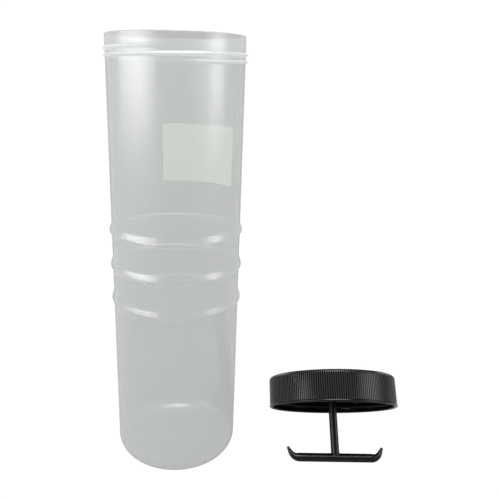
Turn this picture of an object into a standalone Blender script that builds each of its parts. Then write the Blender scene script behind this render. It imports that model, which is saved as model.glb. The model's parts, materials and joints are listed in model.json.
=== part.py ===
"""Deep film developing tank: a tall screw-capped jar, with its cap lying beside it.

The jar stands upright on its base. The cap carries an anchor-shaped hook on a stem, which turns
in the cap's centre. Cap and hook lie beside the jar, leaning back on the hook's bar and the rim.

Units are metres, +Z is up, and the origin is the centre of the jar's base.
"""

from math import asin, atan2, cos, hypot, pi, radians, sin

import bpy
from mathutils import Vector

# Jar: a blow-moulded straight cylinder with three beads round its middle
JAR_HEIGHT = 0.360
JAR_RADIUS = 0.05345
JAR_WALL = 0.0016
JAR_FLOOR = 0.0024
BASE_CORNER = 0.0127
BEAD_PITCH = 0.030
BEAD_HEIGHTS = tuple(JAR_HEIGHT / 2 + step * BEAD_PITCH for step in (-1, 0, 1))
BEAD_HALF_HEIGHT = 0.0048
BEAD_PROUD = 0.0018

# Screw thread: right-handed, one start, two turns, five turns to the inch
THREAD_PITCH = 0.00508
THREAD_TURNS = 2
THREAD_PROUD = 0.0015
THREAD_BELOW_RIM = 0.0197
THREAD_START_ANGLE = radians(-95)

# Blank write-on label on the back of the jar
LABEL_WIDTH = 0.070
LABEL_HEIGHT = 0.051
LABEL_MIDDLE = 0.264
LABEL_ANGLE = radians(65)
LABEL_THICKNESS = 0.0002

# Cap, measured along its own axis from the plane of its open rim
CAP_RIM_RADIUS = 0.0587
CAP_TOP_RADIUS = 0.0582
CAP_HEIGHT = 0.0274
CAP_TOP_THICKNESS = 0.0020
CAP_CORNER = 0.0030
CAP_BEAD_HEIGHT = 0.0024
CAP_BEAD_PROUD = 0.0003
CAP_BORE = JAR_RADIUS + THREAD_PROUD + 0.0008
CAP_THREAD_PROUD = 0.0015
CAP_THREAD_TURNS = 1.5
CAP_THREAD_START = 0.0050
LINER_THICKNESS = 0.0012
LINER_HOLE = 0.0095

# Anchor hook: the stem hangs from the cap, and the bar's ends curve up
STEM_RADIUS = 0.0037
STEM_DROP = 0.04335
BAR_RADIUS = 0.0038
BAR_STRAIGHT = 0.0335
TIP_BEND_RADIUS = 0.0080
TIP_BEND = radians(62)
TIP_LENGTH = 0.0044
TIP_RADIUS = 0.0013
COLLAR_RADIUS = 0.0080
COLLAR_THICKNESS = 0.0028
SPIGOT_RADIUS = 0.0030
PILOT_RADIUS = 0.0022
PILOT_DEPTH = 0.0110

# Fastening through the middle of the cap
RING_RADIUS = 0.0052
RING_SECTION = 0.0008
WASHER_RADIUS = 0.0070
WASHER_THICKNESS = 0.0010
SCREW_RADIUS = 0.0018
SCREW_HEAD_RADIUS = 0.0040
SCREW_HEAD_HEIGHT = 0.0024
SCREW_LENGTH = 0.0100
SLOT_WIDTH = 0.0010
SLOT_DEPTH = 0.0011

# Where the cap lies, and the gap that touching pieces keep
CAP_PLACE_X = 0.1450
CAP_PLACE_Y = -0.0132
CAP_YAW = -0.07
GAP = 0.0003

STEPS = 64
SMALL_STEPS = 24


def cap_lean():
    """Angle from upright at which the hook's bar and the cap's rim both touch the floor."""
    reach = hypot(CAP_RIM_RADIUS, STEM_DROP)
    return atan2(STEM_DROP, CAP_RIM_RADIUS) + asin(BAR_RADIUS / reach)


def clear_scene():
    for item in list(bpy.data.objects):
        bpy.data.objects.remove(item, do_unlink=True)


def material(name, colour, roughness, metallic=0.0, alpha=1.0):
    made = bpy.data.materials.new(name)
    made.use_nodes = True
    shader = made.node_tree.nodes["Principled BSDF"]
    shader.inputs["Base Color"].default_value = (*colour, 1.0)
    shader.inputs["Roughness"].default_value = roughness
    shader.inputs["Metallic"].default_value = metallic
    shader.inputs["Alpha"].default_value = alpha
    made.diffuse_color = (*colour, alpha)
    return made


def new_object(name, points, edges=(), faces=(), parent=None):
    mesh = bpy.data.meshes.new(name)
    mesh.from_pydata([tuple(point) for point in points], list(edges), list(faces))
    made = bpy.data.objects.new(name, mesh)
    bpy.context.scene.collection.objects.link(made)
    made.parent = parent
    return made


def turned(name, outline, closed, steps=STEPS, parent=None):
    """Turn an outline of (radius, height) points about Z; its outer side runs downwards."""
    count = len(outline)
    edges = [(index, index + 1) for index in range(count - 1)]
    if closed:
        edges.append((count - 1, 0))
    points = [(radius, 0.0, height) for radius, height in outline]
    made = new_object(name, points, edges, parent=parent)
    screw = made.modifiers.new("turn", 'SCREW')
    screw.axis = 'Z'
    screw.angle = 2 * pi
    screw.steps = steps
    screw.render_steps = steps
    screw.use_merge_vertices = True
    screw.merge_threshold = 0.00005
    screw.use_smooth_shade = True
    return made


def swept(name, sections, parent=None):
    """Join rings of points into one solid with closed ends.

    Each ring has the same count of points, which run anticlockwise as seen from before it.
    """
    ring = len(sections[0])
    points = [point for section in sections for point in section]
    faces = [tuple(range(ring))]
    for start in range(0, len(points) - ring, ring):
        for side in range(ring):
            after = (side + 1) % ring
            faces.append((start + after, start + side, start + ring + side, start + ring + after))
    faces.append(tuple(reversed(range(len(points) - ring, len(points)))))
    made = new_object(name, points, faces=faces, parent=parent)
    made.data.shade_smooth()
    return made


def combine(target, tool, operation):
    """Add or cut a hidden tool shape, exactly."""
    boolean = target.modifiers.new(tool.name, 'BOOLEAN')
    boolean.object = tool
    boolean.operation = operation
    boolean.solver = 'EXACT'
    tool.hide_render = True
    tool.display_type = 'WIRE'


def arc(middle, radius, first, last, count):
    """Points on an arc in the (radius, height) plane, from one angle to another."""
    turn = (last - first) / (count - 1)
    angles = [first + turn * index for index in range(count)]
    return [(middle[0] + radius * cos(a), middle[1] + radius * sin(a)) for a in angles]


def bead(wall_radius, height, half_height, proud, count):
    """A half-round bead on a wall, from its top edge to its lower edge."""
    outline = []
    for index in range(count):
        angle = pi * index / (count - 1)
        rise = proud * sin(angle)
        outline.append((wall_radius + rise, height + half_height * cos(angle)))
    return outline


def thread(name, root, reach, width, pitch, turns, low, start, handed_in, parent=None):
    """A helical ridge whose ends fade into the wall; root is buried, reach is the crest."""
    per_turn = 40
    count = int(per_turn * turns)
    fade = per_turn // 8
    sections = []
    for index in range(count + 1):
        grow = min(1.0, index / fade, (count - index) / fade)
        angle = start + 2 * pi * index / per_turn
        middle = low + pitch * index / per_turn
        buried = root
        crest = root + (reach - root) * (0.25 + 0.75 * grow)
        corners = [(buried, -width), (crest, -width * 0.35), (crest, width * 0.35), (buried, width)]
        if handed_in:
            corners.reverse()
        sections.append([(r * cos(angle), r * sin(angle), middle + z) for r, z in corners])
    return swept(name, sections, parent)


def jar_outline():
    """The jar's wall: down the outside, across the base, and back up the inside."""
    wall = JAR_RADIUS - JAR_WALL
    lip = 0.0005
    outline = [(wall + lip, JAR_HEIGHT), (JAR_RADIUS - lip, JAR_HEIGHT), (JAR_RADIUS, JAR_HEIGHT - lip)]
    for height in reversed(BEAD_HEIGHTS):
        outline += bead(JAR_RADIUS, height, BEAD_HALF_HEIGHT, BEAD_PROUD, 7)
    corner = JAR_RADIUS - BASE_CORNER
    outline += arc((corner, BASE_CORNER), BASE_CORNER, 0, -pi / 2, 6)
    outline += [(0.0, 0.0), (0.0, JAR_FLOOR)]
    inner_corner = BASE_CORNER - JAR_FLOOR
    outline += arc((wall - inner_corner, BASE_CORNER), inner_corner, -pi / 2, 0, 5)
    for height in BEAD_HEIGHTS:
        outline += reversed(bead(wall, height, BEAD_HALF_HEIGHT - JAR_WALL / 2, BEAD_PROUD, 5))
    outline += [(wall, JAR_HEIGHT - lip)]
    return outline


def make_jar():
    jar = turned("jar_body", jar_outline(), closed=True)
    jar.data.materials.append(material("translucent_polypropylene", (0.80, 0.83, 0.81), 0.32, alpha=0.45))
    ridge = thread(
        "jar_thread",
        root=JAR_RADIUS - JAR_WALL / 2,
        reach=JAR_RADIUS + THREAD_PROUD,
        width=0.0020,
        pitch=THREAD_PITCH,
        turns=THREAD_TURNS,
        low=JAR_HEIGHT - THREAD_BELOW_RIM,
        start=THREAD_START_ANGLE,
        handed_in=False,
    )
    combine(jar, ridge, 'UNION')


def make_label():
    inner = JAR_RADIUS + GAP
    outer = inner + LABEL_THICKNESS
    half_angle = LABEL_WIDTH / JAR_RADIUS / 2
    low = LABEL_MIDDLE - LABEL_HEIGHT / 2
    high = LABEL_MIDDLE + LABEL_HEIGHT / 2
    count = 16
    sections = []
    for index in range(count + 1):
        angle = LABEL_ANGLE - half_angle + 2 * half_angle * index / count
        corners = [(inner, low), (outer, low), (outer, high), (inner, high)]
        sections.append([(r * cos(angle), r * sin(angle), z) for r, z in corners])
    label = swept("jar_label", sections)
    label.data.materials.append(material("label_paper", (0.90, 0.90, 0.87), 0.7))


def make_cap(axis):
    """The cap's top and skirt, with the thread inside the skirt."""
    top_inside = CAP_HEIGHT - CAP_TOP_THICKNESS
    hole = SPIGOT_RADIUS + GAP
    bead_top = CAP_BEAD_HEIGHT
    edge = 0.0005
    outline = [(hole, CAP_HEIGHT)]
    outline += arc((CAP_TOP_RADIUS - CAP_CORNER, CAP_HEIGHT - CAP_CORNER), CAP_CORNER, pi / 2, 0, 5)
    outline += [(CAP_RIM_RADIUS - CAP_BEAD_PROUD, bead_top), (CAP_RIM_RADIUS, bead_top - edge)]
    outline += [(CAP_RIM_RADIUS, edge), (CAP_RIM_RADIUS - edge, 0.0), (CAP_BORE + edge, 0.0)]
    outline += [(CAP_BORE, edge), (CAP_BORE, top_inside), (hole, top_inside)]
    cap = turned("cap_shell", outline, closed=True, parent=axis)
    cap.data.materials.append(material("black_polypropylene", (0.020, 0.021, 0.021), 0.36))
    ridge = thread(
        "cap_thread",
        root=CAP_BORE + 0.0007,
        reach=CAP_BORE - CAP_THREAD_PROUD,
        width=0.0016,
        pitch=THREAD_PITCH,
        turns=CAP_THREAD_TURNS,
        low=CAP_THREAD_START,
        start=0.0,
        handed_in=True,
        parent=axis,
    )
    combine(cap, ridge, 'UNION')
    high = top_inside - GAP
    low = high - LINER_THICKNESS
    outer = CAP_BORE - GAP
    ring = [(LINER_HOLE, high), (outer, high), (outer, low), (LINER_HOLE, low)]
    liner = turned("cap_liner", ring, closed=True, steps=48, parent=axis)
    liner.data.materials.append(material("foam_liner", (0.30, 0.30, 0.29), 0.8))


def hook_route():
    """Half of the bar's centre line, out from the stem: (distance out, height, radius)."""
    route = [(BAR_STRAIGHT * part / 3, 0.0, BAR_RADIUS) for part in range(4)]
    bends = 6
    whole = TIP_BEND_RADIUS * TIP_BEND + TIP_LENGTH
    for index in range(1, bends + 1):
        turn = TIP_BEND * index / bends
        gone = TIP_BEND_RADIUS * turn / whole
        out = BAR_STRAIGHT + TIP_BEND_RADIUS * sin(turn)
        up = TIP_BEND_RADIUS * (1 - cos(turn))
        route.append((out, up, BAR_RADIUS + (TIP_RADIUS - BAR_RADIUS) * gone))
    out, up, _ = route[-1]
    route.append((out + TIP_LENGTH * cos(TIP_BEND), up + TIP_LENGTH * sin(TIP_BEND), TIP_RADIUS))
    return route


def make_bar(axis):
    """The hook's bar: round sections that follow the centre line from tip to tip."""
    half = hook_route()
    left = [(-out, up, radius) for out, up, radius in reversed(half[1:])]
    centres = [Vector((out, 0.0, up - STEM_DROP)) for out, up, _ in left + half]
    radii = [radius for _, _, radius in left + half]
    sides = 16
    sections = []
    last = len(centres) - 1
    for index, centre in enumerate(centres):
        along = (centres[min(index + 1, last)] - centres[max(index - 1, 0)]).normalized()
        across = Vector((0.0, 1.0, 0.0))
        upward = along.cross(across)
        angles = [-2 * pi * side / sides for side in range(sides)]
        radius = radii[index]
        sections.append([centre + radius * (cos(a) * across + sin(a) * upward) for a in angles])
    end_caps(sections, centres)
    return swept("hook_bar", sections, axis)


def end_caps(sections, centres):
    """Round off both tips with one smaller ring beyond each end."""
    first = centres[0] + (centres[0] - centres[1]).normalized() * TIP_RADIUS * 0.7
    last = centres[-1] + (centres[-1] - centres[-2]).normalized() * TIP_RADIUS * 0.7
    shrink = 0.6
    sections.insert(0, [first + (point - centres[0]) * shrink for point in sections[0]])
    sections.append([last + (point - centres[-1]) * shrink for point in sections[-1]])


def make_hook(axis):
    """Stem, collar, O-ring groove and spigot turned in one piece, joined to the bar."""
    shoulder = CAP_HEIGHT - CAP_TOP_THICKNESS - GAP
    spigot_top = CAP_HEIGHT + GAP
    groove_inner = RING_RADIUS - RING_SECTION - GAP
    groove_outer = RING_RADIUS + RING_SECTION + GAP
    groove_floor = shoulder - 2 * RING_SECTION - GAP
    collar_low = groove_floor - COLLAR_THICKNESS / 2
    outline = [
        (0.0, spigot_top - PILOT_DEPTH),
        (PILOT_RADIUS, spigot_top - PILOT_DEPTH),
        (PILOT_RADIUS, spigot_top),
        (SPIGOT_RADIUS, spigot_top),
        (SPIGOT_RADIUS, shoulder),
        (groove_inner, shoulder),
        (groove_inner, groove_floor),
        (groove_outer, groove_floor),
        (groove_outer, shoulder),
        (COLLAR_RADIUS, shoulder),
        (COLLAR_RADIUS, collar_low),
        (STEM_RADIUS + 0.0010, collar_low - 0.0006),
        (STEM_RADIUS, collar_low - 0.0030),
        (STEM_RADIUS, -STEM_DROP),
        (0.0, -STEM_DROP),
    ]
    hook = turned("anchor_hook", outline, closed=False, steps=SMALL_STEPS, parent=axis)
    hook.data.materials.append(material("black_nylon", (0.016, 0.016, 0.017), 0.34))
    combine(hook, make_bar(axis), 'UNION')


def make_fastening(axis):
    """O-ring in the collar's groove, and the washer and screw on top of the spigot."""
    ring_height = CAP_HEIGHT - CAP_TOP_THICKNESS - 2 * GAP - RING_SECTION
    turns = [2 * pi * index / 10 for index in range(10)]
    outline = [
        (RING_RADIUS + RING_SECTION * sin(a), ring_height + RING_SECTION * cos(a)) for a in turns
    ]
    o_ring = turned("stem_o_ring", outline, closed=True, steps=SMALL_STEPS, parent=axis)
    o_ring.data.materials.append(material("nitrile_rubber", (0.012, 0.012, 0.012), 0.6))

    low = CAP_HEIGHT + 2 * GAP
    high = low + WASHER_THICKNESS
    hole = SCREW_RADIUS + 2 * GAP
    outline = [(hole, high), (WASHER_RADIUS, high), (WASHER_RADIUS, low), (hole, low)]
    washer = turned("stem_washer", outline, closed=True, steps=SMALL_STEPS, parent=axis)
    washer.data.materials.append(material("stainless_washer", (0.62, 0.62, 0.61), 0.28, metallic=1.0))

    seat = high + GAP
    crown = seat + SCREW_HEAD_HEIGHT
    tip = seat - WASHER_THICKNESS - SCREW_LENGTH
    outline = [
        (0.0, crown),
        (SCREW_HEAD_RADIUS * 0.55, crown - 0.0002),
        (SCREW_HEAD_RADIUS * 0.88, crown - 0.0008),
        (SCREW_HEAD_RADIUS, crown - 0.0016),
        (SCREW_HEAD_RADIUS, seat),
        (SCREW_RADIUS, seat),
        (SCREW_RADIUS, tip + 0.0008),
        (0.0, tip),
    ]
    screw = turned("stem_screw", outline, closed=False, steps=SMALL_STEPS, parent=axis)
    screw.data.materials.append(material("stainless_screw", (0.62, 0.62, 0.61), 0.25, metallic=1.0))
    long_side = SCREW_HEAD_RADIUS * 0.55
    short_side = SLOT_WIDTH / 2
    low = crown - SLOT_DEPTH
    high = crown + SLOT_DEPTH
    outline = [
        (long_side, -short_side), (long_side, short_side), (short_side, short_side),
        (short_side, long_side), (-short_side, long_side), (-short_side, short_side),
        (-long_side, short_side), (-long_side, -short_side), (-short_side, -short_side),
        (-short_side, -long_side), (short_side, -long_side), (short_side, -short_side),
    ]
    cross = swept("cross_recess", [[(x, y, z) for x, y in outline] for z in (high, low)], axis)
    combine(screw, cross, 'DIFFERENCE')


def main():
    clear_scene()
    make_jar()
    make_label()
    lean = cap_lean()
    axis = bpy.data.objects.new("cap_axis", None)
    bpy.context.scene.collection.objects.link(axis)
    axis.location = (CAP_PLACE_X, CAP_PLACE_Y, CAP_RIM_RADIUS * sin(lean))
    axis.rotation_euler = (-lean, 0.0, CAP_YAW)
    make_cap(axis)
    make_hook(axis)
    make_fastening(axis)


main()
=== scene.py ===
"""Looks of the deep film developing tank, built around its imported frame.

A tall translucent jar stands upright, and its black knurled cap lies beside it on its hook.
Metres, +Z up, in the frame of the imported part.
"""

import json
from math import atan2, cos, hypot, pi, radians, sin

import bpy
from mathutils import Matrix, Vector


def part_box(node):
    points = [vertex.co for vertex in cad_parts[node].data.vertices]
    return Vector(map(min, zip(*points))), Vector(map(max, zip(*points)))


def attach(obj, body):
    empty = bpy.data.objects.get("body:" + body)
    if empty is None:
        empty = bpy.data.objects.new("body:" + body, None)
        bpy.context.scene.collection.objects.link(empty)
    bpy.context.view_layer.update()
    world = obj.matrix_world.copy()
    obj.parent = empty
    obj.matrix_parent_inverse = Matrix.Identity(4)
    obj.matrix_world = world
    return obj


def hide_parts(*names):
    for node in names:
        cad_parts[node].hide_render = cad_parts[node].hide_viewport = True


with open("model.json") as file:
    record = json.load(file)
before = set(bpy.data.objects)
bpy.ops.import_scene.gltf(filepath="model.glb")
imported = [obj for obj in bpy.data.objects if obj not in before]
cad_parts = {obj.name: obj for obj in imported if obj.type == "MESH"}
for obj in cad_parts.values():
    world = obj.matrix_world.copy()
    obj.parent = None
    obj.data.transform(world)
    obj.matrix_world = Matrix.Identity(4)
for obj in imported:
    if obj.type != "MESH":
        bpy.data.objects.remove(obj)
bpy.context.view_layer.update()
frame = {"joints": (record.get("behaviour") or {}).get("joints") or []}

# Jar: its height and the reach of its beads come from the frame
JAR_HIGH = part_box("jar_body")[1]
JAR_HEIGHT = JAR_HIGH.z
JAR_RADIUS = 0.05345
JAR_WALL = 0.0016
JAR_FLOOR = 0.0024
JAR_SEGMENTS = 288
BASE_CORNER = 0.0127
LIP = 0.0005
ROW_STEP = 0.0002

# Three beads round the jar; each runs from -1 at its lower edge to BEAD_TOP, in half heights
BEAD_PROUD = JAR_HIGH.x - JAR_RADIUS
BEAD_PITCH = 0.030
BEAD_HALF_HEIGHT = 0.0048
BEAD_TOP = 1.3
BEAD_ROWS_OUTSIDE = 32
BEAD_ROWS_INSIDE = 16

# Thread on the neck
THREAD_PITCH = 0.00508
THREAD_TURNS = 2.0
THREAD_PROUD = 0.0015
THREAD_HALF_WIDTH = 0.0017
THREAD_LOW = JAR_HEIGHT - 0.0197
THREAD_MARGIN = 0.0030
THREAD_START = radians(-95)
THREAD_FADE_TURNS = 0.11
THREAD_ROUNDING = 1.3

# How much milkier the jar is where its plastic is thicker, from 0 to 1; on the beads' lower lips
# the milkiness is a painted highlight, not thicker plastic
NECK_MILKINESS = 0.13
BODY_MILKINESS = 0.05
BEAD_LIP_PAINTED_HIGHLIGHT = 0.15
MILKINESS_FADE = 0.105

# Label on the back of the wall
LABEL_GAP = 0.0003
LABEL_THICKNESS = 0.0002
LABEL_WIDTH = 0.070
LABEL_ANGLE = radians(65)
LABEL_CORNER = 0.0020

# Cap and hook, along the cap's own axis from the plane of its open rim
CAP_RIM_RADIUS = 0.0586
CAP_TOP_RADIUS = 0.0581
CAP_HEIGHT = 0.0274
CAP_TOP_THICKNESS = 0.0020
CAP_CORNER = 0.0030
CAP_BEAD_HEIGHT = 0.0024
CAP_BORE = 0.05575
CAP_THREAD_LOW = 0.0050
CAP_THREAD_PROUD = 0.0015
CAP_THREAD_HALF_WIDTH = 0.0014
CAP_THREAD_TURNS = 1.5
KNURL_RIBS = 192
KNURL_DEPTH = 0.00070
KNURL_GROOVE_HALF = 0.26
RIB_STEPS = 8
LINER_HOLE = 0.0095
LINER_THICKNESS = 0.0012
STEM_RADIUS = 0.0037
STEM_DROP = 0.04335
BAR_RADIUS = 0.0038
BAR_STRAIGHT = 0.0335
TIP_BEND_RADIUS = 0.0080
TIP_BEND = radians(62)
TIP_LENGTH = 0.0044
TIP_RADIUS = 0.0013
BAR_SIDES = 32
COLLAR_RADIUS = 0.0080
SPIGOT_RADIUS = 0.0030
WASHER_THICKNESS = 0.0010
GAP = 0.0003

# Stage: the brightness of the room, of its back wall and of what glossy surfaces reflect, then of
# what the camera sees through the jar and beside it
STUDIO = 0.22
SCREEN = 1.25
REFLECTED = 0.20
BACKDROP = 0.37
WHITE = 1.02
FLOOR_GREY = 0.25
FLOOR_GLOW = 0.16
FLOOR_REACH = 4.0
FLOOR_DROP = 0.0003
SOFTBOX_FALL = 0.8


# ---------------------------------------------------------------- shapes

def axis_matrix():
    """Place and turn of the cap's own axis, from the joint that turns the cap about it."""
    joint = next(item for item in frame["joints"] if item["name"] == "cap_turn")
    up = Vector(joint["axis"]).normalized()
    yaw = atan2(-up.x, up.y)
    lean = atan2(hypot(up.x, up.y), up.z)
    turn = Matrix.Rotation(yaw, 4, 'Z') @ Matrix.Rotation(-lean, 4, 'X')
    return Matrix.Translation(Vector(joint["pos_m"])) @ turn


CAP_AXIS = axis_matrix()


def add_piece(name, points, faces, skin, body, replaced, place=None, sharp=50):
    """Make a smooth-shaded mesh piece that rides on a body and stands for its CAD nodes."""
    mesh = bpy.data.meshes.new(name)
    mesh.from_pydata([tuple(point) for point in points], [], faces)
    mesh.validate()
    if place is not None:
        mesh.transform(place)
    mesh.shade_smooth()
    mesh.set_sharp_from_angle(angle=radians(sharp))
    mesh.materials.append(skin)
    made = bpy.data.objects.new(name, mesh)
    bpy.context.scene.collection.objects.link(made)
    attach(made, body)
    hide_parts(*replaced)
    return made


def line(start, end, count):
    """Points from start up to, and not including, end."""
    steps = [index / count for index in range(count)]
    return [tuple(a + (b - a) * t for a, b in zip(start, end)) for t in steps]


def arc(middle, radius, first, last, count):
    """Points on an arc in the (radius, height) plane, both ends included."""
    turn = (last - first) / (count - 1)
    angles = [first + turn * index for index in range(count)]
    return [(middle[0] + radius * cos(a), middle[1] + radius * sin(a)) for a in angles]


def revolve(outline, segments, closed, change=None):
    """Turn an outline that runs down its outer side; a point on the axis becomes a pole.

    change(angle, radius, height, row) gives the radius where the surface isn't round.
    """
    points = []
    rings = []
    for row, (radius, height) in enumerate(outline):
        if radius < 1e-7:
            rings.append([len(points)])
            points.append((0.0, 0.0, height))
            continue
        ring = []
        for index in range(segments):
            angle = 2 * pi * index / segments
            r = change(angle, radius, height, row) if change else radius
            ring.append(len(points))
            points.append((r * cos(angle), r * sin(angle), height))
        rings.append(ring)
    pairs = list(zip(rings, rings[1:]))
    if closed:
        pairs.append((rings[-1], rings[0]))
    faces = []
    for above, below in pairs:
        if len(above) == 1 and len(below) == 1:
            continue
        for index in range(segments):
            after = (index + 1) % segments
            if len(above) == 1:
                faces.append((above[0], below[index], below[after]))
            elif len(below) == 1:
                faces.append((above[index], below[0], above[after]))
            else:
                faces.append((above[index], below[index], below[after], above[after]))
    return points, faces


def sweep(sections):
    """Join rings of points, anticlockwise as seen from before each, with closed ends."""
    ring = len(sections[0])
    points = [point for section in sections for point in section]
    faces = [tuple(range(ring))]
    for start in range(0, len(points) - ring, ring):
        for side in range(ring):
            after = (side + 1) % ring
            faces.append((start + after, start + side, start + ring + side, start + ring + after))
    faces.append(tuple(reversed(range(len(points) - ring, len(points)))))
    return points, faces


def ridge_height(angle, height, low, start, turns, half_width):
    """0 to 1: how far a rounded helical ridge stands out at this angle and height."""
    base = ((angle - start) / (2 * pi)) % 1.0
    rise = 0.0
    for lap in range(int(turns) + 2):
        done = base + lap
        if done > turns:
            break
        off = (height - low - THREAD_PITCH * done) / half_width
        if abs(off) < 1.0:
            fade = min(1.0, done / THREAD_FADE_TURNS, (turns - done) / THREAD_FADE_TURNS)
            rise = max(rise, (1 - off * off) ** THREAD_ROUNDING * fade)
    return rise


# ---------------------------------------------------------------- materials

def new_material(name):
    """An empty node material, with its nodes and links."""
    made = bpy.data.materials.new(name)
    made.use_nodes = True
    made.node_tree.nodes.clear()
    return made, made.node_tree.nodes, made.node_tree.links


def noise(nodes, links, scale, detail, stretch=(1, 1, 1)):
    """Noise in the object's own space, stretched along its axes."""
    place = nodes.new("ShaderNodeTexCoord")
    mapping = nodes.new("ShaderNodeMapping")
    mapping.inputs["Scale"].default_value = stretch
    texture = nodes.new("ShaderNodeTexNoise")
    texture.inputs["Scale"].default_value = scale
    texture.inputs["Detail"].default_value = detail
    links.new(place.outputs["Object"], mapping.inputs["Vector"])
    links.new(mapping.outputs["Vector"], texture.inputs["Vector"])
    return texture.outputs["Fac"]


def spread(nodes, links, source, low, high):
    """Map the middle of a noise's values, 0.3 to 0.7, on to a range."""
    scale = nodes.new("ShaderNodeMapRange")
    scale.inputs["From Min"].default_value = 0.3
    scale.inputs["From Max"].default_value = 0.7
    scale.inputs["To Min"].default_value = low
    scale.inputs["To Max"].default_value = high
    links.new(source, scale.inputs["Value"])
    return scale.outputs["Result"]


def calculate(nodes, links, operation, first, second):
    """A Math node of two inputs, each a socket or a number."""
    node = nodes.new("ShaderNodeMath")
    node.operation = operation
    for index, value in enumerate((first, second)):
        if isinstance(value, (int, float)):
            node.inputs[index].default_value = value
        else:
            links.new(value, node.inputs[index])
    return node.outputs["Value"]


def plus_share(nodes, links, base, value, share):
    """base + share * value, where base is a socket or a number."""
    return calculate(nodes, links, 'ADD', base, calculate(nodes, links, 'MULTIPLY', value, share))


def mixed(nodes, links, share, first, second):
    """A mix of two shaders; share is a socket or a number."""
    mix = nodes.new("ShaderNodeMixShader")
    if isinstance(share, float):
        mix.inputs["Fac"].default_value = share
    else:
        links.new(share, mix.inputs["Fac"])
    links.new(first, mix.inputs[1])
    links.new(second, mix.inputs[2])
    return mix.outputs[0]


def bump(nodes, links, height, strength, distance, under=None):
    """Fine relief from a height socket, on top of the normal under it."""
    node = nodes.new("ShaderNodeBump")
    node.inputs["Strength"].default_value = strength
    node.inputs["Distance"].default_value = distance
    links.new(height, node.inputs["Height"])
    if under is not None:
        links.new(under, node.inputs["Normal"])
    return node.outputs["Normal"]


def jar_plastic():
    """Natural polypropylene: clear enough to see through, milkier where it's thicker, and whiter in
    painted highlights on the thread's crest and the beads' lower lips.
    """
    made, nodes, links = new_material("natural_polypropylene")
    flow = noise(nodes, links, scale=9.0, detail=3.0, stretch=(1.0, 1.0, 0.35))
    cloud = noise(nodes, links, scale=30.0, detail=2.0, stretch=(1.0, 1.0, 0.4))
    grain = noise(nodes, links, scale=900.0, detail=2.0)
    soft = bump(nodes, links, cloud, strength=0.10, distance=0.0010)
    normal = bump(nodes, links, grain, strength=0.10, distance=0.00012, under=soft)

    facing = nodes.new("ShaderNodeLayerWeight")
    facing.inputs["Blend"].default_value = 0.5
    links.new(normal, facing.inputs["Normal"])
    glance = facing.outputs["Facing"]
    thickness_and_highlight = nodes.new("ShaderNodeAttribute")
    thickness_and_highlight.attribute_name = "milkiness_and_painted_highlight"
    milky = spread(nodes, links, flow, low=0.175, high=0.205)
    milky = plus_share(nodes, links, milky, calculate(nodes, links, 'POWER', glance, 6.0), 0.20)
    # The attribute adds milkiness where the plastic is thicker, and painted highlights on the
    # thread's crest and the beads' lower lips
    milky = plus_share(nodes, links, milky, thickness_and_highlight.outputs["Fac"], 0.55)

    clear = nodes.new("ShaderNodeBsdfTransparent")
    clear.inputs["Color"].default_value = (0.975, 0.980, 0.975, 1)
    behind = nodes.new("ShaderNodeBsdfTranslucent")
    behind.inputs["Color"].default_value = (0.835, 0.855, 0.84, 1)
    front = nodes.new("ShaderNodeBsdfDiffuse")
    front.inputs["Color"].default_value = (0.815, 0.835, 0.82, 1)
    links.new(normal, behind.inputs["Normal"])
    links.new(normal, front.inputs["Normal"])
    scatter = mixed(nodes, links, 0.5, front.outputs[0], behind.outputs[0])
    wall = mixed(nodes, links, milky, clear.outputs[0], scatter)

    gloss = nodes.new("ShaderNodeBsdfGlossy")
    gloss.inputs["Color"].default_value = (1, 1, 1, 1)
    gloss.inputs["Roughness"].default_value = 0.28
    links.new(normal, gloss.inputs["Normal"])
    mirror = plus_share(nodes, links, 0.05, calculate(nodes, links, 'POWER', glance, 5.0), 0.10)
    skin = mixed(nodes, links, mirror, wall, gloss.outputs[0])
    out = nodes.new("ShaderNodeOutputMaterial")
    links.new(skin, out.inputs["Surface"])
    return made


def principled(name, colour, roughness, metallic=0.0, specular=0.5):
    """A Principled material, with its nodes, links and shader for more detail."""
    made, nodes, links = new_material(name)
    shader = nodes.new("ShaderNodeBsdfPrincipled")
    shader.inputs["Base Color"].default_value = (*colour, 1)
    shader.inputs["Roughness"].default_value = roughness
    shader.inputs["Metallic"].default_value = metallic
    shader.inputs["Specular IOR Level"].default_value = specular
    out = nodes.new("ShaderNodeOutputMaterial")
    links.new(shader.outputs[0], out.inputs["Surface"])
    return made, nodes, links, shader


def mottle(nodes, links, shader, dark, light, source):
    """Vary a shader's colour a little between two tones."""
    ramp = nodes.new("ShaderNodeValToRGB")
    low, high = ramp.color_ramp.elements
    low.position = 0.35
    low.color = (*dark, 1)
    high.position = 0.65
    high.color = (*light, 1)
    links.new(source, ramp.inputs["Fac"])
    links.new(ramp.outputs["Color"], shader.inputs["Base Color"])


def black_moulding(name, dark, light, roughness, grain_scale, painted_rib_highlight=None):
    """Black moulded plastic with a fine grain and faint flow marks, and a greyer tone on any rib
    tops as a painted highlight.
    """
    made, nodes, links, shader = principled(name, light, roughness, specular=0.36)
    flow = noise(nodes, links, scale=60.0, detail=3.0)
    grain = noise(nodes, links, scale=grain_scale, detail=3.0)
    mottle(nodes, links, shader, dark, light, flow)
    if painted_rib_highlight:
        paint_rib_highlights(nodes, links, shader, painted_rib_highlight)
    gloss = spread(nodes, links, flow, low=roughness - 0.03, high=roughness + 0.03)
    links.new(gloss, shader.inputs["Roughness"])
    relief = bump(nodes, links, grain, strength=0.05, distance=0.00004)
    links.new(relief, shader.inputs["Normal"])
    return made


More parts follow.
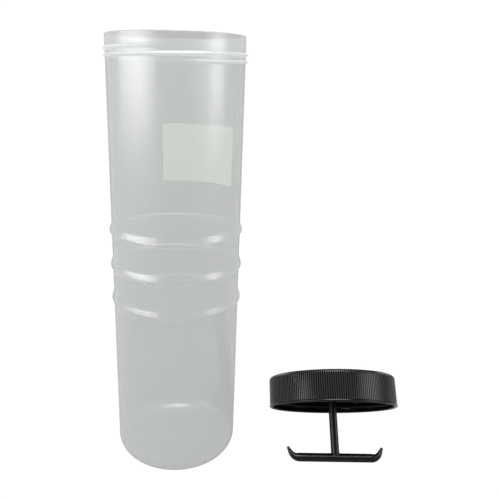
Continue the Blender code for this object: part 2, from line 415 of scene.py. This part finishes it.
def paint_rib_highlights(nodes, links, shader, tone):
    """Turn the rib tops, which a point attribute marks, to a greyer tone: a painted highlight."""
    plain = shader.inputs["Base Color"].links[0].from_socket
    top = nodes.new("ShaderNodeAttribute")
    top.attribute_name = "painted_rib_highlight"
    blend = nodes.new("ShaderNodeMix")
    blend.data_type = 'RGBA'
    first, second = [socket for socket in blend.inputs if socket.type == 'RGBA']
    second.default_value = (*tone, 1)
    links.new(top.outputs["Fac"], blend.inputs["Factor"])
    links.new(plain, first)
    result = next(socket for socket in blend.outputs if socket.type == 'RGBA')
    links.new(result, shader.inputs["Base Color"])


def black_polypropylene():
    """The cap's glossy black, with a greyer tone on the tops of its ribs as a painted highlight."""
    dark = (0.0030, 0.0034, 0.0034)
    light = (0.0044, 0.0048, 0.0048)
    # A greyer tone for the rib tops: a painted highlight
    painted_rib_highlight = (0.0230, 0.0238, 0.0238)
    return black_moulding("black_polypropylene", dark, light, 0.14, 1400.0, painted_rib_highlight)


def black_nylon():
    """The hook's satin black."""
    dark = (0.0026, 0.0026, 0.0028)
    light = (0.0040, 0.0040, 0.0042)
    return black_moulding("black_nylon", dark, light, 0.30, 1100.0)


def label_paper():
    """Pale paper with fine fibres, which lets a little light through."""
    made, nodes, links, shader = principled("label_paper", (0.86, 0.86, 0.83), 0.75, specular=0.2)
    fibre = noise(nodes, links, scale=700.0, detail=5.0, stretch=(1.0, 1.0, 2.2))
    cloud = noise(nodes, links, scale=45.0, detail=3.0)
    mottle(nodes, links, shader, (0.875, 0.875, 0.845), (0.915, 0.915, 0.89), cloud)
    relief = bump(nodes, links, fibre, strength=0.25, distance=0.00005)
    links.new(relief, shader.inputs["Normal"])
    through = nodes.new("ShaderNodeBsdfTranslucent")
    through.inputs["Color"].default_value = (0.95, 0.95, 0.915, 1)
    out = next(node for node in nodes if node.type == 'OUTPUT_MATERIAL')
    paper = mixed(nodes, links, 0.90, shader.outputs[0], through.outputs[0])
    links.new(paper, out.inputs["Surface"])
    return made


def foam():
    """Dark closed-cell foam, with a fine relief of cells."""
    dark = (0.004, 0.004, 0.004)
    light = (0.008, 0.008, 0.008)
    made, nodes, links, shader = principled("closed_cell_foam", light, 0.85, specular=0.2)
    cells = nodes.new("ShaderNodeTexVoronoi")
    cells.inputs["Scale"].default_value = 1800.0
    place = nodes.new("ShaderNodeTexCoord")
    links.new(place.outputs["Object"], cells.inputs["Vector"])
    mottle(nodes, links, shader, dark, light, noise(nodes, links, scale=220.0, detail=3.0))
    relief = bump(nodes, links, cells.outputs["Distance"], strength=0.5, distance=0.0001)
    links.new(relief, shader.inputs["Normal"])
    return made


def rubber():
    """Matt black rubber."""
    dark = (0.011, 0.011, 0.011)
    light = (0.019, 0.019, 0.019)
    made, nodes, links, shader = principled("nitrile_rubber", light, 0.55, specular=0.3)
    mottle(nodes, links, shader, dark, light, noise(nodes, links, scale=500.0, detail=3.0))
    return made


def stainless():
    """Stainless steel with fine scratches."""
    dark = (0.52, 0.52, 0.51)
    light = (0.66, 0.66, 0.65)
    made, nodes, links, shader = principled("stainless_steel", light, 0.25, metallic=1.0)
    scratches = noise(nodes, links, scale=1500.0, detail=4.0, stretch=(1.0, 0.15, 1.0))
    mottle(nodes, links, shader, dark, light, noise(nodes, links, scale=260.0, detail=3.0))
    links.new(spread(nodes, links, scratches, low=0.20, high=0.36), shader.inputs["Roughness"])
    relief = bump(nodes, links, scratches, strength=0.12, distance=0.00003)
    links.new(relief, shader.inputs["Normal"])
    return made


# ---------------------------------------------------------------- jar

def bead_rise(off):
    """How far a bead stands out at off, 0 to 1: a short curve to its crest, then a long slope."""
    crest = -0.17
    crest_rounding = 0.15
    slope_length = 0.86
    foot_rounding = 0.12
    if off < crest:
        return 0.5 + 0.5 * cos(pi * (crest - off) / (1 + crest))
    above = (off - crest) / (1 - crest)
    slope = 1 - (hypot(above, crest_rounding) - crest_rounding) / slope_length
    return min(1.0, (slope + hypot(slope, foot_rounding)) / 2)


def jar_outline():
    """Rows of the jar's outline, down the outside and back up the inside."""
    wall = JAR_RADIUS - JAR_WALL
    thread_top = JAR_HEIGHT - 0.0065
    thread_end = THREAD_LOW - THREAD_MARGIN
    middles = [JAR_HEIGHT / 2 + step * BEAD_PITCH for step in (1, 0, -1)]
    half = BEAD_HALF_HEIGHT
    rows = arc((wall + LIP, JAR_HEIGHT - LIP), LIP, pi, pi / 2, 5)
    rows += arc((JAR_RADIUS - LIP, JAR_HEIGHT - LIP), LIP, pi / 2, 0, 5)
    rows += line((JAR_RADIUS, JAR_HEIGHT - 2 * LIP), (JAR_RADIUS, thread_top), 6)
    rows += line((JAR_RADIUS, thread_top), (JAR_RADIUS, thread_end), 60)
    last = thread_end
    for middle in middles:
        rows += line((JAR_RADIUS, last), (JAR_RADIUS, middle + half * BEAD_TOP), 10)
        for index in range(BEAD_ROWS_OUTSIDE + 1):
            off = BEAD_TOP - (1 + BEAD_TOP) * index / BEAD_ROWS_OUTSIDE
            rows.append((JAR_RADIUS + BEAD_PROUD * bead_rise(off), middle + half * off))
        last = middle - half - ROW_STEP
    rows += line((JAR_RADIUS, last), (JAR_RADIUS, BASE_CORNER + ROW_STEP), 16)
    rows += arc((JAR_RADIUS - BASE_CORNER, BASE_CORNER), BASE_CORNER, 0, -pi / 2, 16)
    rows += line((JAR_RADIUS - BASE_CORNER - 0.002, 0.0), (0.004, 0.0), 8)
    rows += [(0.0, 0.0), (0.0, JAR_FLOOR), (0.010, JAR_FLOOR), (0.025, JAR_FLOOR)]
    inner_corner = BASE_CORNER - JAR_FLOOR
    rows += arc((wall - inner_corner, BASE_CORNER), inner_corner, -pi / 2, 0, 12)
    last = BASE_CORNER
    inner_rise = BEAD_PROUD * 0.9
    inner_half = 0.92
    for middle in reversed(middles):
        rows += line((wall, last + ROW_STEP), (wall, middle - half), 8)
        for index in range(BEAD_ROWS_INSIDE + 1):
            off = -1 + 2 * index / BEAD_ROWS_INSIDE
            rows.append((wall + inner_rise * bead_rise(off), middle + half * off * inner_half))
        last = middle + half
    rows += line((wall, last), (wall, JAR_HEIGHT - 3 * LIP), 30)
    return rows


def make_jar():
    """The jar in one piece, with its thread, and its milkiness as an attribute, which also holds
    painted highlights on the thread's crest and the beads' lower lips.
    """
    middle_radius = JAR_RADIUS - JAR_WALL / 2
    clear_of_thread = 0.004

    def threaded(angle, radius, height, row):
        below = height < THREAD_LOW - clear_of_thread
        if radius < middle_radius or below or height > JAR_HEIGHT - clear_of_thread:
            return radius
        rise = ridge_height(
            angle, height, THREAD_LOW, THREAD_START, THREAD_TURNS, THREAD_HALF_WIDTH)
        return radius + THREAD_PROUD * rise

    points, faces = revolve(jar_outline(), JAR_SEGMENTS, True, threaded)
    jar = add_piece(
        "jar_wall", points, faces, jar_plastic(), "jar", ["jar_body"])
    milkiness_and_painted_highlight = jar.data.attributes.new("milkiness_and_painted_highlight", 'FLOAT', 'POINT')
    for index, (x, y, z) in enumerate(points):
        milkiness_and_painted_highlight.data[index].value = extra_plastic_and_painted_highlight(atan2(y, x), hypot(x, y), z)


def extra_plastic_and_painted_highlight(angle, radius, height):
    """0 to 1: how much thicker the plastic is towards the neck and in the thread's ridge, whitest
    at the ridge's crest as a painted highlight; on the beads' lower lips, a painted highlight
    alone.
    """
    # The ridge is thicker plastic; starting its milkiness only near the crest makes a narrow white
    # line there, which is a painted highlight
    ridge_gain = 3
    ridge_start = 1.3
    ridge = min(1.0, ridge_gain * (radius - JAR_RADIUS) / THREAD_PROUD - ridge_start)
    lap = ((angle - THREAD_START) / (2 * pi)) % 1.0
    if height > THREAD_LOW + THREAD_PITCH * lap:
        return max(NECK_MILKINESS, ridge)
    if height > THREAD_LOW - THREAD_MARGIN:
        return max(BODY_MILKINESS, ridge)
    # A milky band on each bead's lower lip: a painted highlight
    lip_middle = 0.55
    lip_half = 0.20
    for step in (-1, 0, 1):
        below = JAR_HEIGHT / 2 + step * BEAD_PITCH - height
        lip_highlight = 1 - abs(below / BEAD_HALF_HEIGHT - lip_middle) / lip_half
        if lip_highlight > 0 and radius > JAR_RADIUS:
            return BEAD_LIP_PAINTED_HIGHLIGHT * lip_highlight
    return BODY_MILKINESS * max(0.0, min(1.0, (height - THREAD_LOW) / MILKINESS_FADE + 1))


def make_label():
    """A thin blank paper label with rounded corners, curved round the back of the jar."""
    low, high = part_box("jar_label")
    inner = JAR_RADIUS + LABEL_GAP
    outer = inner + LABEL_THICKNESS
    columns = 72
    sections = []
    for index in range(columns + 1):
        across = LABEL_WIDTH * (index / columns - 0.5)
        beyond = max(0.0, abs(across) - (LABEL_WIDTH / 2 - LABEL_CORNER))
        cut = LABEL_CORNER - (max(0.0, LABEL_CORNER ** 2 - beyond ** 2)) ** 0.5
        cut = min(cut, LABEL_CORNER * 0.9)
        angle = LABEL_ANGLE + across / JAR_RADIUS
        bottom = low.z + cut
        top = high.z - cut
        corners = [(inner, bottom), (outer, bottom), (outer, top), (inner, top)]
        sections.append([(r * cos(angle), r * sin(angle), z) for r, z in corners])
    points, faces = sweep(sections)
    add_piece("write_on_label", points, faces, label_paper(), "jar", ["jar_label"])


# ---------------------------------------------------------------- cap

def groove_depth(angle):
    """How deep the knurl is at this angle: 0 on the top of a rib, 1 in the middle of a groove."""
    from_middle = abs((angle * KNURL_RIBS / (2 * pi) + 0.5) % 1.0 - 0.5)
    return max(0.0, 1 - from_middle / KNURL_GROOVE_HALF)


def make_cap():
    """Cap with a finely ribbed skirt, a smooth bead at its rim, and its thread inside."""
    top_inside = CAP_HEIGHT - CAP_TOP_THICKNESS
    hole = SPIGOT_RADIUS + GAP
    panel = 0.0490
    panel_height = CAP_HEIGHT - 0.0004
    skirt_top = CAP_HEIGHT - CAP_CORNER
    corner_rows = 9
    skirt_rows = 8
    fade_rows = 3
    rows = [(hole, panel_height)]
    rows += line((0.012, panel_height), (panel, panel_height), 4)
    rows += [(panel, panel_height), (panel + 0.0006, CAP_HEIGHT)]
    rows += [(CAP_TOP_RADIUS - CAP_CORNER - 0.0004, CAP_HEIGHT)]
    first_rib = len(rows)
    rows += arc((CAP_TOP_RADIUS - CAP_CORNER, skirt_top), CAP_CORNER, pi / 2, 0, corner_rows)
    slope = (CAP_RIM_RADIUS - 0.0005 - CAP_TOP_RADIUS) / (skirt_top - CAP_BEAD_HEIGHT)
    for index in range(1, skirt_rows + 1):
        down = (skirt_top - CAP_BEAD_HEIGHT) * index / skirt_rows
        rows.append((CAP_TOP_RADIUS + slope * down, skirt_top - down))
    last_rib = len(rows) - 1
    rim = 0.0012
    rows += arc((CAP_RIM_RADIUS - rim, rim), rim, radians(62), -pi / 2, 11)
    rows += [(CAP_BORE + 0.0006, 0.0003), (CAP_BORE, 0.0010)]
    rows += line((CAP_BORE, 0.0020), (CAP_BORE, 0.0170), 40)
    rows += [(CAP_BORE, top_inside - 0.0010), (CAP_BORE - 0.0010, top_inside), (hole, top_inside)]

    def shaped(angle, radius, height, row):
        if first_rib <= row <= last_rib:
            fade = min(1.0, (row - first_rib + 1) / fade_rows)
            return radius - KNURL_DEPTH * groove_depth(angle) * fade
        if row > last_rib and abs(radius - CAP_BORE) < 1e-6:
            rise = ridge_height(
                angle, height, CAP_THREAD_LOW, 0.0, CAP_THREAD_TURNS, CAP_THREAD_HALF_WIDTH)
            return radius - CAP_THREAD_PROUD * rise
        return radius

    segments = KNURL_RIBS * RIB_STEPS
    points, faces = revolve(rows, segments, True, shaped)
    cap = add_piece(
        "knurled_cap", points, faces, black_polypropylene(), "cap", ["cap_shell"],
        CAP_AXIS, sharp=32)
    # Mark the rib tops for the painted highlight that the cap's material puts there
    painted_rib_highlight = cap.data.attributes.new("painted_rib_highlight", 'FLOAT', 'POINT')
    for index in range(first_rib * segments, (last_rib + 1) * segments):
        depth = groove_depth(2 * pi * (index % segments) / segments)
        painted_rib_highlight.data[index].value = 1 - min(1.0, 2 * depth)


def make_liner():
    """Sealing disc with a hole for the hook's collar, all its edges chamfered."""
    high = CAP_HEIGHT - CAP_TOP_THICKNESS - GAP
    low = high - LINER_THICKNESS
    inner = LINER_HOLE
    outer = CAP_BORE - GAP
    edge = 0.0003
    rows = [(inner, high - edge), (inner + edge, high), (outer - edge, high), (outer, high - edge)]
    rows += [(outer, low + edge), (outer - edge, low), (inner + edge, low), (inner, low + edge)]
    points, faces = revolve(rows, 160, True)
    add_piece("sealing_disc", points, faces, foam(), "cap", ["cap_liner"], CAP_AXIS)


# ---------------------------------------------------------------- hook

def hook_route():
    """Half of the bar's centre line, out from the stem: (distance out, height, radius)."""
    straights = 8
    route = [(BAR_STRAIGHT * part / straights, 0.0, BAR_RADIUS) for part in range(straights + 1)]
    bends = 14
    whole = TIP_BEND_RADIUS * TIP_BEND + TIP_LENGTH
    for index in range(1, bends + 1):
        turn = TIP_BEND * index / bends
        gone = TIP_BEND_RADIUS * turn / whole
        out = BAR_STRAIGHT + TIP_BEND_RADIUS * sin(turn)
        up = TIP_BEND_RADIUS * (1 - cos(turn))
        route.append((out, up, BAR_RADIUS + (TIP_RADIUS - BAR_RADIUS) * gone))
    out, up, near = route[-1]
    for part in (0.5, 1.0):
        gone = TIP_LENGTH * part
        radius = near + (TIP_RADIUS - near) * part
        route.append((out + gone * cos(TIP_BEND), up + gone * sin(TIP_BEND), radius))
    return route


def bar_sections():
    """Round sections along the bar from tip to tip, with a rounded end at each."""
    half = hook_route()
    left = [(-out, up, radius) for out, up, radius in reversed(half[1:])]
    whole = left + half
    centres = [Vector((out, 0.0, up - STEM_DROP)) for out, up, _ in whole]
    radii = [radius for _, _, radius in whole]
    last = len(centres) - 1
    sections = []
    for index, centre in enumerate(centres):
        along = (centres[min(index + 1, last)] - centres[max(index - 1, 0)]).normalized()
        sections.append(round_section(centre, along, radii[index]))
    for step in (0.5, 0.85):
        radius = TIP_RADIUS * (1 - step * step) ** 0.5
        before = (centres[0] - centres[1]).normalized()
        after = (centres[last] - centres[last - 1]).normalized()
        sections.insert(0, round_section(centres[0] + before * TIP_RADIUS * step, -before, radius))
        sections.append(round_section(centres[last] + after * TIP_RADIUS * step, after, radius))
    return sections


def round_section(centre, along, radius):
    """A ring of points round the bar's centre line."""
    across = Vector((0.0, 1.0, 0.0))
    upward = along.cross(across)
    angles = [-2 * pi * side / BAR_SIDES for side in range(BAR_SIDES)]
    return [centre + radius * (cos(a) * across + sin(a) * upward) for a in angles]


def stem_outline():
    """The stem from the screw's hole down: spigot, O-ring groove, collar, fillet and shaft."""
    shoulder = CAP_HEIGHT - CAP_TOP_THICKNESS - GAP
    spigot_top = CAP_HEIGHT + GAP
    bore = 0.0022
    bore_end = spigot_top - 0.011
    groove_inner = 0.0041
    groove_outer = 0.0063
    groove_floor = shoulder - 0.0019
    fillet = 0.0022
    rows = [(0.0, bore_end), (bore, bore_end), (bore, spigot_top)]
    rows += [(SPIGOT_RADIUS, spigot_top), (SPIGOT_RADIUS, shoulder), (groove_inner, shoulder)]
    rows += [(groove_inner, groove_floor), (groove_outer, groove_floor), (groove_outer, shoulder)]
    rows += [(COLLAR_RADIUS, shoulder), (COLLAR_RADIUS, shoulder - 0.0030)]
    rows += arc((STEM_RADIUS + fillet, shoulder - 0.0055), fillet, pi * 0.6, pi, 5)
    rows += line((STEM_RADIUS, shoulder - 0.0060), (STEM_RADIUS, -STEM_DROP + 0.0012), 30)
    rows += [(STEM_RADIUS * 0.9, -STEM_DROP), (0.0, -STEM_DROP - 0.0005)]
    return rows


def make_hook():
    """Stem and bar joined into one moulding, with the small fillets that a mould leaves."""
    points, faces = sweep(bar_sections())
    bar_mesh = bpy.data.meshes.new("bar")
    bar_mesh.from_pydata([tuple(point) for point in points], [], faces)
    bar = bpy.data.objects.new("bar_guide", bar_mesh)
    bpy.context.scene.collection.objects.link(bar)
    points, faces = revolve(stem_outline(), 64, False)
    hook = add_piece(
        "hanging_hook", points, faces, black_nylon(), "hanger", ["anchor_hook"])
    join = hook.modifiers.new("join", 'BOOLEAN')
    join.object = bar
    join.operation = 'UNION'
    join.solver = 'EXACT'
    remesh = hook.modifiers.new("even", 'REMESH')
    remesh.mode = 'VOXEL'
    remesh.voxel_size = 0.00026
    soften = hook.modifiers.new("fillet", 'SMOOTH')
    soften.factor = 0.6
    soften.iterations = 22
    graph = bpy.context.evaluated_depsgraph_get()
    whole = bpy.data.meshes.new_from_object(hook.evaluated_get(graph))
    hook.modifiers.clear()
    hook.data = whole
    whole.transform(CAP_AXIS)
    whole.shade_smooth()
    bpy.data.objects.remove(bar, do_unlink=True)


def make_fastening():
    """O-ring, washer and screw on the cap's axis."""
    make_o_ring()
    steel = stainless()
    low = CAP_HEIGHT + 2 * GAP
    high = low + WASHER_THICKNESS
    make_washer(low, high, steel)
    make_screw(high + GAP, steel)


def make_o_ring():
    """The ring in the groove of the hook's collar."""
    radius = 0.0052
    thickness = 0.0008
    middle = CAP_HEIGHT - CAP_TOP_THICKNESS - 2 * GAP - thickness
    turns = [2 * pi * index / 20 for index in range(20)]
    rows = [(radius + thickness * sin(a), middle + thickness * cos(a)) for a in turns]
    points, faces = revolve(rows, 72, True)
    add_piece(
        "o_ring", points, faces, rubber(), "hanger", ["stem_o_ring"], CAP_AXIS)


def make_washer(low, high, steel):
    """A flat washer with its outer edges chamfered."""
    inner = 0.0024
    outer = 0.0070
    edge = 0.00015
    rows = [(inner, high), (outer - edge, high), (outer, high - edge)]
    rows += [(outer, low + edge), (outer - edge, low), (inner, low)]
    points, faces = revolve(rows, 96, True)
    add_piece(
        "flat_washer", points, faces, steel, "hanger", ["stem_washer"], CAP_AXIS)


def make_screw(seat, steel):
    """A pan-head screw that sits at this height, with a domed head and a cross recess."""
    crown = seat + 0.0024
    head = 0.0040
    shaft = 0.0018
    dome = [(0.0012, 0.00003), (0.0022, 0.0002), (0.0029, 0.0005), (0.0035, 0.0009)]
    dome += [(0.0039, 0.0014), (head, 0.0018)]
    rows = [(0.0, crown)] + [(radius, crown - drop) for radius, drop in dome]
    rows += [(head, seat + 0.0001), (head - 0.0001, seat), (shaft, seat)]
    rows += [(shaft, seat - 0.0100), (0.0, seat - 0.0110)]
    points, faces = revolve(rows, 96, False)
    screw = add_piece(
        "pan_head_screw", points, faces, steel, "hanger", ["stem_screw"])
    cut_cross(screw, crown)
    screw.data.transform(CAP_AXIS)
    screw.data.set_sharp_from_angle(angle=radians(35))


def cut_cross(screw, crown):
    """Cut a cross recess that narrows with depth."""
    sections = []
    mouth = (-0.001, 0.0021, 0.00050)
    bottom = (0.0015, 0.0011, 0.00036)
    for depth, long_side, short_side in (mouth, bottom):
        outline = [
            (long_side, -short_side), (long_side, short_side), (short_side, short_side),
            (short_side, long_side), (-short_side, long_side), (-short_side, short_side),
            (-long_side, short_side), (-long_side, -short_side), (-short_side, -short_side),
            (-short_side, -long_side), (short_side, -long_side), (short_side, -short_side),
        ]
        sections.append([(x, y, crown - depth) for x, y in outline])
    points, faces = sweep(sections)
    mesh = bpy.data.meshes.new("cross")
    mesh.from_pydata(points, [], faces)
    cross = bpy.data.objects.new("cross_guide", mesh)
    bpy.context.scene.collection.objects.link(cross)
    cut = screw.modifiers.new("cross", 'BOOLEAN')
    cut.object = cross
    cut.operation = 'DIFFERENCE'
    cut.solver = 'EXACT'
    graph = bpy.context.evaluated_depsgraph_get()
    screw.data = bpy.data.meshes.new_from_object(screw.evaluated_get(graph))
    screw.modifiers.clear()
    bpy.data.objects.remove(cross, do_unlink=True)


# ---------------------------------------------------------------- stage

def seen_directly(nodes, links):
    """1 where the camera sees a surface with nothing translucent in front of it, else 0."""
    path = nodes.new("ShaderNodeLightPath")
    first = calculate(nodes, links, 'LESS_THAN', path.outputs["Transparent Depth"], 0.5)
    return calculate(nodes, links, 'MULTIPLY', first, path.outputs["Is Camera Ray"])


def make_floor():
    """A pale floor: white where the camera sees it, dimmer through the jar, grey to all else."""
    mesh = bpy.data.meshes.new("floor")
    reach = FLOOR_REACH
    corners = [(-reach, -reach, 0), (reach, -reach, 0), (reach, reach, 0), (-reach, reach, 0)]
    mesh.from_pydata(corners, [], [(0, 1, 2, 3)])
    floor = bpy.data.objects.new("floor", mesh)
    floor.location.z = -FLOOR_DROP
    bpy.context.scene.collection.objects.link(floor)
    made, nodes, links = new_material("pale_floor")
    around = glowing(nodes, links, FLOOR_GREY, FLOOR_GLOW)
    direct = glowing(nodes, links, 0.0, WHITE)
    behind = glowing(nodes, links, 0.0, BACKDROP)
    path = nodes.new("ShaderNodeLightPath")
    through = mixed(nodes, links, path.outputs["Is Camera Ray"], around, behind)
    chosen = mixed(nodes, links, seen_directly(nodes, links), through, direct)
    out = nodes.new("ShaderNodeOutputMaterial")
    links.new(chosen, out.inputs["Surface"])
    mesh.materials.append(made)


def glowing(nodes, links, colour, strength):
    """A grey that is lit, plus an even glow."""
    lit = nodes.new("ShaderNodeBsdfDiffuse")
    lit.inputs["Color"].default_value = (colour, colour, colour, 1)
    glow = nodes.new("ShaderNodeEmission")
    glow.inputs["Strength"].default_value = strength
    both = nodes.new("ShaderNodeAddShader")
    links.new(lit.outputs[0], both.inputs[0])
    links.new(glow.outputs[0], both.inputs[1])
    return both.outputs[0]


def make_world():
    """White where the camera sees it, dimmer through the jar, and a room with a lit back wall."""
    world = bpy.data.worlds.new("studio")
    bpy.context.scene.world = world
    world.use_nodes = True
    nodes = world.node_tree.nodes
    links = world.node_tree.links
    nodes.clear()
    way = nodes.new("ShaderNodeTexCoord")
    split = nodes.new("ShaderNodeSeparateXYZ")
    links.new(way.outputs["Generated"], split.inputs[0])
    depth = nodes.new("ShaderNodeMapRange")
    depth.inputs["From Min"].default_value = 0.1
    depth.inputs["From Max"].default_value = 0.7
    depth.inputs["To Min"].default_value = STUDIO
    depth.inputs["To Max"].default_value = SCREEN
    links.new(split.outputs["Y"], depth.inputs["Value"])
    lit = background(nodes, links, depth.outputs["Result"])
    glossy = background(nodes, links, REFLECTED)
    behind = background(nodes, links, BACKDROP)
    direct = background(nodes, links, WHITE)
    path = nodes.new("ShaderNodeLightPath")
    around = mixed(nodes, links, path.outputs["Is Glossy Ray"], lit, glossy)
    through = mixed(nodes, links, path.outputs["Is Camera Ray"], around, behind)
    chosen = mixed(nodes, links, seen_directly(nodes, links), through, direct)
    out = nodes.new("ShaderNodeOutputWorld")
    links.new(chosen, out.inputs["Surface"])


def background(nodes, links, strength):
    """An even white surround; strength is a socket or a number."""
    node = nodes.new("ShaderNodeBackground")
    node.inputs["Color"].default_value = (1, 1, 1, 1)
    if isinstance(strength, float):
        node.inputs["Strength"].default_value = strength
    else:
        links.new(strength, node.inputs["Strength"])
    return node.outputs[0]


def softbox(name, place, target, size, radiance):
    """An area light with this radiance at its middle, and dimmer towards its edges."""
    light = bpy.data.lights.new(name, 'AREA')
    light.shape = 'RECTANGLE'
    light.size, light.size_y = size
    light.energy = pi * size[0] * size[1]
    light.use_nodes = True
    nodes = light.node_tree.nodes
    links = light.node_tree.links
    glow = next(node for node in nodes if node.type == 'EMISSION')
    across = nodes.new("ShaderNodeNewGeometry")
    split = nodes.new("ShaderNodeSeparateXYZ")
    links.new(across.outputs["Parametric"], split.inputs[0])
    strength = radiance
    for axis in ("X", "Y"):
        near = split.outputs[axis]
        far = calculate(nodes, links, 'SUBTRACT', 1.0, near)
        product = calculate(nodes, links, 'MULTIPLY', near, far)
        hill = calculate(nodes, links, 'MULTIPLY', product, 4.0)
        softened = calculate(nodes, links, 'POWER', hill, SOFTBOX_FALL)
        strength = calculate(nodes, links, 'MULTIPLY', softened, strength)
    links.new(strength, glow.inputs["Strength"])
    made = bpy.data.objects.new(name, light)
    bpy.context.scene.collection.objects.link(made)
    made.location = place
    made.rotation_euler = (Vector(target) - Vector(place)).to_track_quat('-Z', 'Y').to_euler()
    made.visible_camera = False


def make_lights():
    """A softbox low at each side for the jar's two long highlights, and one overhead."""
    on_jar = (0.0, 0.0, 0.33)
    softbox("left_softbox", (-0.93, -0.38, 0.42), on_jar, size=(1.50, 0.48), radiance=5.8)
    softbox("right_softbox", (0.95, -0.38, 0.45), on_jar, size=(0.65, 0.52), radiance=4.6)
    softbox("top_softbox", (0.05, -0.22, 1.28), (0.05, 0.0, 0.10), size=(1.1, 0.9), radiance=13.0)


def make_camera():
    """At the height and distance of a product shot, looking down a little; angles in radians."""
    distance = 0.441336
    height = JAR_HEIGHT - 0.026276
    tilt = 0.311
    yaw = 0.078
    roll = 0.021
    camera = bpy.data.cameras.new("camera")
    camera.sensor_width = 36.0
    camera.lens = 39.11
    camera.shift_x = 0.06633
    camera.shift_y = -0.00601
    camera.clip_start = 0.01
    made = bpy.data.objects.new("camera", camera)
    bpy.context.scene.collection.objects.link(made)
    forward = Vector((sin(yaw) * cos(tilt), cos(yaw) * cos(tilt), -sin(tilt)))
    level = Vector((cos(yaw), -sin(yaw), 0.0))
    above = level.cross(forward)
    right = cos(roll) * level + sin(roll) * above
    up = -sin(roll) * level + cos(roll) * above
    turn = Matrix((right, up, -forward)).transposed().to_4x4()
    made.matrix_world = Matrix.Translation((0.0, -distance, height)) @ turn
    bpy.context.scene.camera = made


def main():
    """Build the pieces, then the floor, surroundings, lights and camera."""
    make_jar()
    make_label()
    make_cap()
    make_liner()
    make_hook()
    make_fastening()
    make_floor()
    make_world()
    make_lights()
    make_camera()
    scene = bpy.context.scene
    scene.view_settings.view_transform = 'Standard'
    scene.cycles.transparent_max_bounces = 16
    scene.cycles.max_bounces = 10
    scene.cycles.transmission_bounces = 8


main()
